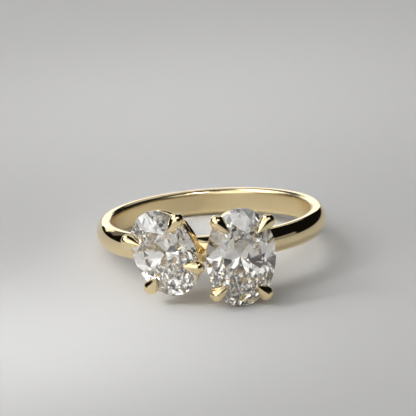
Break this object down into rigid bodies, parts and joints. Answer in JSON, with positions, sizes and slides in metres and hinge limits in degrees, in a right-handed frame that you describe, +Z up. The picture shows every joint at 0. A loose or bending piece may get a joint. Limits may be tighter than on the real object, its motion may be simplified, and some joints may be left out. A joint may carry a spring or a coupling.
{
  "type": "two-stone ring",
  "caption": "Plain gold finger ring with two oval stones side by side in four-claw baskets, one upright and one leaning, lying on its side.",
  "frame": {"origin": "on the surface that the ring lies on, under the middle of its bounding box", "axes": "+Z up from the surface; -Y towards the side with the stones; the finger's axis stands 8.2 degrees off +Z, because the ring leans on its stones"},
  "size_m": [0.0192, 0.0234, 0.008],
  "materials": {
    "gold": "polished yellow gold",
    "diamond": "colourless, faceted and polished"
  },
  "bodies": {
    "root": {"setting": "gold", "upright_stone": "diamond", "leaning_stone": "diamond"}
  },
  "joints": []
}
